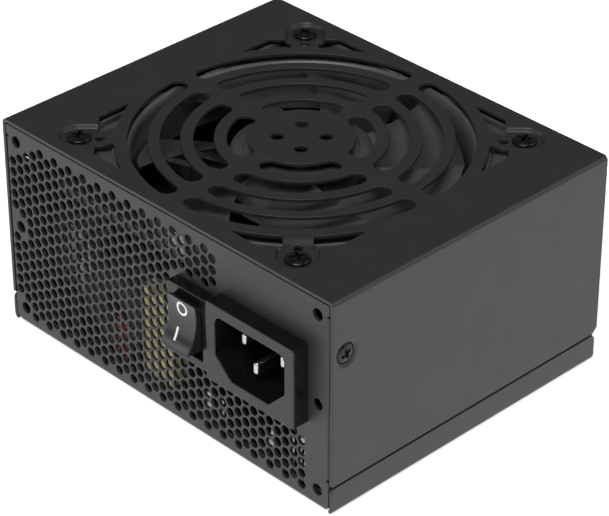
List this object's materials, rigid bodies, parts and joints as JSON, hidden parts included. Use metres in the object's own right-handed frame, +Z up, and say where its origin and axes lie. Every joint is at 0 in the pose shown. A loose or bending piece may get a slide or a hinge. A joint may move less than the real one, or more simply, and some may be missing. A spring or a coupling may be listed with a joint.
{
  "type": "power supply unit",
  "caption": "Compact computer power supply: folded black steel case, round fan grille on top, perforated panel with mains inlet and rocker switch, output sockets behind.",
  "frame": {"origin": "centre of the case's flat underside", "axes": "+Z up towards the fan grille, -Y towards the mains panel, +X towards the inlet side"},
  "size_m": [0.125, 0.1107, 0.0635],
  "materials": {
    "painted_steel": "fine matt black powder coat over folded steel sheet",
    "black_plastic": "black moulded plastic with a fine grain",
    "rocker_plastic": "smooth black rocker with a satin gloss",
    "fan_plastic": "black moulded fan frame, smooth inside the bore",
    "blade_plastic": "dark grey satin fan blades",
    "black_screw": "black oxide screw, worn bright on the recess edges",
    "bright_steel": "bright plated steel",
    "brass": "plain brass strip",
    "copper": "enamelled copper winding",
    "aluminium": "plain extruded aluminium",
    "circuit_board": "green solder mask on glass-fibre board",
    "magnet": "dark bonded ferrite ring",
    "insulation": "pale fibre insulation sheet",
    "yellow_case": "yellow polyester case",
    "capacitor_sleeve": "dark blue shrink sleeve",
    "ferrite": "dark ferrite core and taped winding",
    "moulded_resin": "black moulded resin",
    "brown_insulation": "brown wire insulation",
    "blue_insulation": "blue wire insulation",
    "green_yellow_insulation": "green and yellow wire insulation",
    "black_insulation": "black wire insulation"
  },
  "bodies": {
    "root": {"top_cover": "painted_steel", "base_floor": "painted_steel", "inlet_panel": "painted_steel", "socket_panel": "painted_steel", "socket_board": "circuit_board", "motherboard_socket": "black_plastic", "peripheral_socket_1": "black_plastic", "peripheral_socket_2": "black_plastic", "processor_socket": "black_plastic", "graphics_socket_1": "black_plastic", "graphics_socket_2": "black_plastic", "fan_screw_front_left": "black_screw", "board_screw_front_left": "bright_steel", "fan_screw_front_right": "black_screw", "board_screw_front_right": "bright_steel", "fan_screw_back_left": "black_screw", "board_screw_back_left": "bright_steel", "fan_screw_back_right": "black_screw", "board_screw_back_right": "bright_steel", "cover_screw_right": "black_screw", "cover_screw_left": "black_screw", "cover_screw_back_left": "black_screw", "cover_screw_back_right": "black_screw", "inlet_housing": "black_plastic", "inlet_pin_line": "bright_steel", "inlet_pin_neutral": "bright_steel", "inlet_pin_earth": "bright_steel", "switch_housing": "black_plastic", "switch_terminal_common": "brass", "switch_terminal_load": "brass", "fan_frame": "fan_plastic", "fan_bearing": "brass", "fan_stator": "copper", "fan_circuit_board": "circuit_board", "main_board": "circuit_board", "insulation_sheet": "insulation", "noise_filter_capacitor": "yellow_case", "common_mode_choke": "copper", "bridge_rectifier": "moulded_resin", "rectifier_heatsink": "aluminium", "power_factor_choke": "copper", "bulk_capacitor": "capacitor_sleeve", "primary_heatsink": "aluminium", "main_transformer": "ferrite", "standby_transformer": "ferrite", "secondary_heatsink": "aluminium", "output_capacitor_1": "capacitor_sleeve", "output_capacitor_2": "capacitor_sleeve", "output_choke": "copper", "converter_board": "circuit_board", "line_wire": "brown_insulation", "neutral_wire": "blue_insulation", "earth_wire": "green_yellow_insulation", "fan_lead": "black_insulation"},
    "fan_wheel": {"fan_rotor": "blade_plastic", "rotor_yoke": "bright_steel", "rotor_magnet": "magnet", "rotor_shaft": "bright_steel"},
    "rocker": {"switch_rocker": "rocker_plastic"},
    "contact_arm": {"switch_contact_arm": "brass"}
  },
  "joints": [
    {"name": "fan_spin", "type": "hinge", "parent": "root", "child": "fan_wheel", "pos_m": [0, 0, 0.054], "axis": [0, 0, 1], "continuous": true},
    {"name": "rocker_tilt", "type": "hinge", "parent": "root", "child": "rocker", "pos_m": [0.0139, -0.0512, 0.0353], "axis": [1, 0, 0], "range_deg": [0, 28]},
    {"name": "contact_tilt", "type": "hinge", "parent": "root", "child": "contact_arm", "pos_m": [0.0139, -0.042, 0.0353], "axis": [1, 0, 0], "range_deg": [-14, 0]}
  ],
  "couplings": [
    {"joint": "contact_tilt", "follows": "rocker_tilt", "ratio": -0.5}
  ]
}
